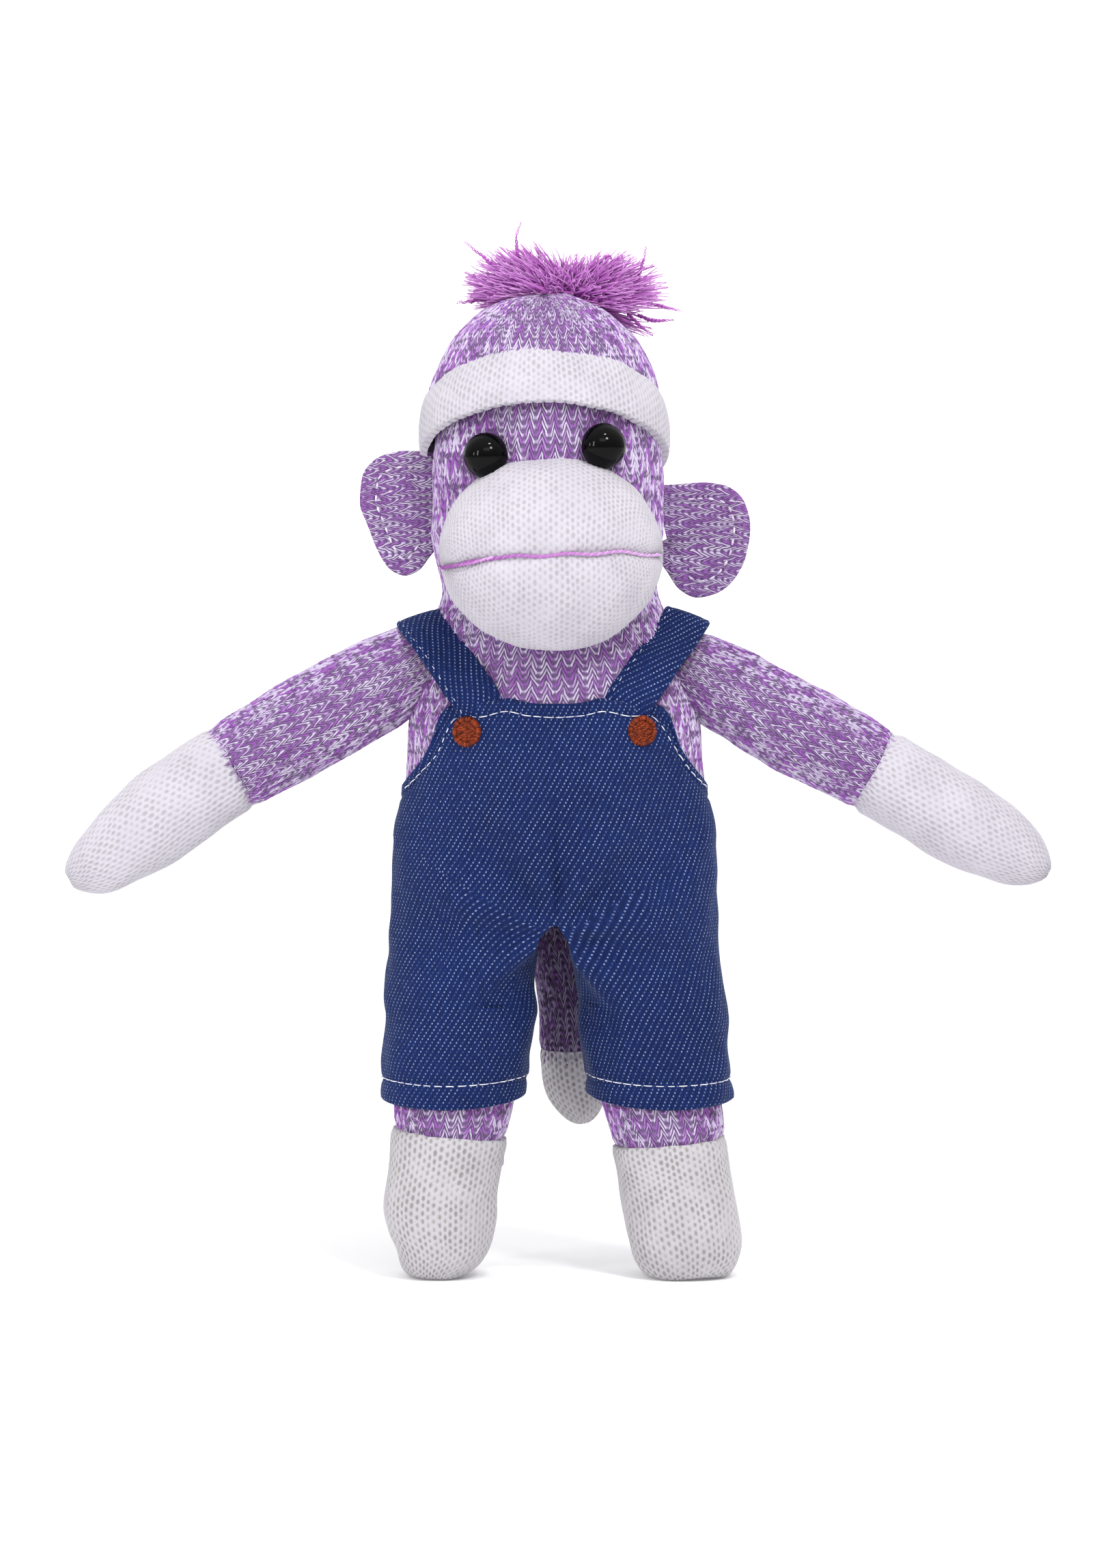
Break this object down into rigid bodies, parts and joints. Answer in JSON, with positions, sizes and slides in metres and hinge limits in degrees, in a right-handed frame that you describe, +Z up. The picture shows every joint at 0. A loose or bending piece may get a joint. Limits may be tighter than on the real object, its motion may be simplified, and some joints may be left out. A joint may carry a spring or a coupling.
{
  "type": "sock monkey soft toy",
  "caption": "Stuffed knitted sock monkey with round muzzle, ears, tail, bobble cap and bib-and-brace dungarees, standing with arms spread.",
  "frame": {"origin": "on the floor under the middle of the toy's box, which is the middle of its body to 1 mm", "axes": "+Z up, the face looks along -Y, +X to the viewer's right when facing the toy"},
  "size_m": [0.2382, 0.0855, 0.2482],
  "materials": {
    "purple_knit": "purple and pale lilac marl stockinette, brushed",
    "white_knit": "fine lavender-white knit, brushed",
    "denim": "dark blue woven cotton with small white slubs",
    "fibre_fill": "loose polyester fibre",
    "white_thread": "white sewing thread",
    "mouth_yarn": "pale pink-purple yarn",
    "button_thread": "rust-brown embroidery thread, satin stitch",
    "eye_plastic": "black, polished",
    "washer_plastic": "natural, moulded",
    "pompom_yarn": "magenta-purple acrylic yarn, cut and looped"
  },
  "bodies": {
    "torso": {"torso_skin": "purple_knit", "torso_stuffing": "fibre_fill", "dungarees_front": "denim", "dungarees_back": "denim", "bib_topstitching": "white_thread", "left_strap": "denim", "right_strap": "denim", "left_button": "button_thread", "right_button": "button_thread"},
    "neck": {"neck_stuffing": "fibre_fill"},
    "head": {"head_skin": "purple_knit", "head_stuffing": "fibre_fill", "muzzle_cover": "white_knit", "muzzle_stuffing": "fibre_fill", "mouth_thread": "mouth_yarn", "left_eye": "eye_plastic", "right_eye": "eye_plastic", "left_eye_washer": "washer_plastic", "right_eye_washer": "washer_plastic", "hat_crown": "purple_knit", "hat_band": "white_knit", "pompom": "pompom_yarn", "pompom_tie": "pompom_yarn"},
    "tail": {"tail_sleeve": "purple_knit", "tail_tip": "white_knit", "tail_stuffing": "fibre_fill"},
    "left_ear": {"left_ear": "purple_knit", "left_ear_stitching": "white_thread"},
    "left_upper_arm": {"left_upper_sleeve": "purple_knit", "left_upper_arm_stuffing": "fibre_fill"},
    "left_forearm": {"left_forearm_sleeve": "purple_knit", "left_forearm_stuffing": "fibre_fill", "left_hand_cover": "white_knit"},
    "left_leg": {"left_leg_sleeve": "purple_knit", "left_leg_stuffing": "fibre_fill", "left_foot_cover": "white_knit", "left_trouser_leg": "denim", "left_hem_topstitching": "white_thread"},
    "right_ear": {"right_ear": "purple_knit", "right_ear_stitching": "white_thread"},
    "right_upper_arm": {"right_upper_sleeve": "purple_knit", "right_upper_arm_stuffing": "fibre_fill"},
    "right_forearm": {"right_forearm_sleeve": "purple_knit", "right_forearm_stuffing": "fibre_fill", "right_hand_cover": "white_knit"},
    "right_leg": {"right_leg_sleeve": "purple_knit", "right_leg_stuffing": "fibre_fill", "right_foot_cover": "white_knit", "right_trouser_leg": "denim", "right_hem_topstitching": "white_thread"}
  },
  "joints": [
    {"name": "neck_turn", "type": "hinge", "parent": "torso", "child": "neck", "pos_m": [-0.0016, 0, 0.15], "axis": [0, 0, 1], "range_deg": [-12, 12]},
    {"name": "head_nod", "type": "hinge", "parent": "neck", "child": "head", "pos_m": [-0.0016, 0, 0.172], "axis": [1, 0, 0], "range_deg": [-15, 3]},
    {"name": "left_ear_fold", "type": "hinge", "parent": "head", "child": "left_ear", "pos_m": [-0.032, 0.002, 0.1835], "axis": [0, 0, 1], "range_deg": [-35, 35]},
    {"name": "right_ear_fold", "type": "hinge", "parent": "head", "child": "right_ear", "pos_m": [0.032, 0.002, 0.1785], "axis": [0, 0, 1], "range_deg": [-35, 35]},
    {"name": "left_shoulder_raise", "type": "hinge", "parent": "torso", "child": "left_upper_arm", "pos_m": [-0.0345, 0, 0.1478], "axis": [0, 1, 0], "range_deg": [-20, 48]},
    {"name": "left_elbow_bend", "type": "hinge", "parent": "left_upper_arm", "child": "left_forearm", "pos_m": [-0.05615, 0, 0.1353], "axis": [-0.5, 0, 0.866], "range_deg": [-15, 60]},
    {"name": "left_hip_swing", "type": "hinge", "parent": "torso", "child": "left_leg", "pos_m": [-0.0214, 0, 0.088], "axis": [-1, 0, 0], "range_deg": [-10, 80]},
    {"name": "right_shoulder_raise", "type": "hinge", "parent": "torso", "child": "right_upper_arm", "pos_m": [0.0345, 0, 0.1458], "axis": [0, -1, 0], "range_deg": [-20, 48]},
    {"name": "right_elbow_bend", "type": "hinge", "parent": "right_upper_arm", "child": "right_forearm", "pos_m": [0.05636, 0, 0.13368], "axis": [-0.4848, 0, -0.8746], "range_deg": [-15, 60]},
    {"name": "right_hip_swing", "type": "hinge", "parent": "torso", "child": "right_leg", "pos_m": [0.0216, 0, 0.088], "axis": [-1, 0, 0], "range_deg": [-10, 80]},
    {"name": "tail_lift", "type": "hinge", "parent": "torso", "child": "tail", "pos_m": [0, 0.026, 0.097], "axis": [1, 0, 0], "range_deg": [0, 80]}
  ]
}
